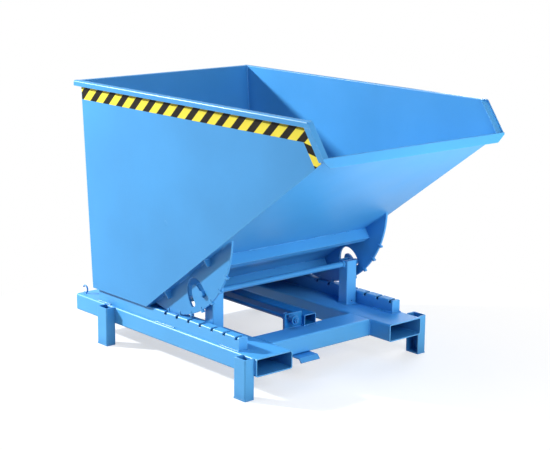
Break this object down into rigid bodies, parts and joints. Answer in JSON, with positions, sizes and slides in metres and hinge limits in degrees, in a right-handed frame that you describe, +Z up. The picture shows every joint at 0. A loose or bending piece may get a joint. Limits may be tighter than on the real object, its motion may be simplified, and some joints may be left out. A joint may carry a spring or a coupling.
{
  "type": "tipping skip trolley",
  "caption": "Self-tipping sheet-metal skip that rolls forward on toothed rockers over a footed fork-pocket frame, released by a front trigger, sprung rod and rear latch.",
  "frame": {"origin": "on the floor, under the middle of the overall box, with the skip upright", "axes": "+X towards the pouring lip, +Y to the left, +Z up"},
  "size_m": [1.746, 1.076, 1.21],
  "materials": {
    "blue_paint": "satin",
    "bare_steel": "zinc plated",
    "hazard_tape": "yellow and black stripes"
  },
  "bodies": {
    "frame": {"fork_tube_left": "blue_paint", "fork_tube_right": "blue_paint", "front_cross_member": "blue_paint", "rear_cross_member": "blue_paint", "centre_beam": "blue_paint", "foot_front_left": "blue_paint", "foot_front_right": "blue_paint", "foot_rear_left": "blue_paint", "foot_rear_right": "blue_paint", "foot_plates": "blue_paint", "roll_rail_left": "blue_paint", "roll_rail_right": "blue_paint", "rail_end_plates": "blue_paint", "post_left": "blue_paint", "post_right": "blue_paint", "bar_bushes": "blue_paint", "guide_bar": "blue_paint", "rod_guide_front": "blue_paint", "rod_guide_rear": "blue_paint", "trigger_keeper": "blue_paint", "latch_bracket": "blue_paint", "latch_pin": "bare_steel", "rope_hook": "blue_paint", "return_spring": "blue_paint"},
    "roll_centre": {"axis_plugs": "blue_paint"},
    "skip": {"side_wall_left": "blue_paint", "side_wall_right": "blue_paint", "rear_wall": "blue_paint", "floor_plate": "blue_paint", "pour_plate": "blue_paint", "rim_left": "blue_paint", "rim_right": "blue_paint", "rim_rear": "blue_paint", "front_flange_left": "blue_paint", "front_flange_right": "blue_paint", "lip_fold": "blue_paint", "rocker_left": "blue_paint", "rocker_right": "blue_paint", "rocker_teeth_left": "blue_paint", "rocker_teeth_right": "blue_paint", "upper_cross_beam": "blue_paint", "lower_cross_beam": "blue_paint", "rocker_gussets": "blue_paint", "latch_catch": "blue_paint", "hazard_tape_left": "hazard_tape", "hazard_tape_right": "hazard_tape"},
    "trigger": {"trigger_plate": "blue_paint", "release_rod": "blue_paint", "spring_washer": "blue_paint", "rod_nuts": "blue_paint", "rod_fork": "blue_paint", "drive_pin": "bare_steel"},
    "latch": {"latch_hook": "blue_paint"}
  },
  "joints": [
    {"name": "skip_roll", "type": "slide", "parent": "frame", "child": "roll_centre", "axis": [1, 0, 0], "range_m": [0, 0.401]},
    {"name": "skip_tip", "type": "hinge", "parent": "roll_centre", "child": "skip", "pos_m": [-0.153, 0, 0.6503], "axis": [0, 1, 0], "range_deg": [0, 56]},
    {"name": "trigger_slide", "type": "slide", "parent": "frame", "child": "trigger", "axis": [1, 0, 0], "range_m": [0, 0.025], "deforming": ["return_spring"]},
    {"name": "latch_turn", "type": "hinge", "parent": "frame", "child": "latch", "pos_m": [-0.783, -0.079, 0.14], "axis": [0, 1, 0], "range_deg": [0, 17.5]}
  ],
  "couplings": [
    {"joint": "skip_roll", "follows": "skip_tip", "m_per_rad": 0.41},
    {"joint": "latch_turn", "follows": "trigger_slide", "rad_per_m": 12.195}
  ]
}
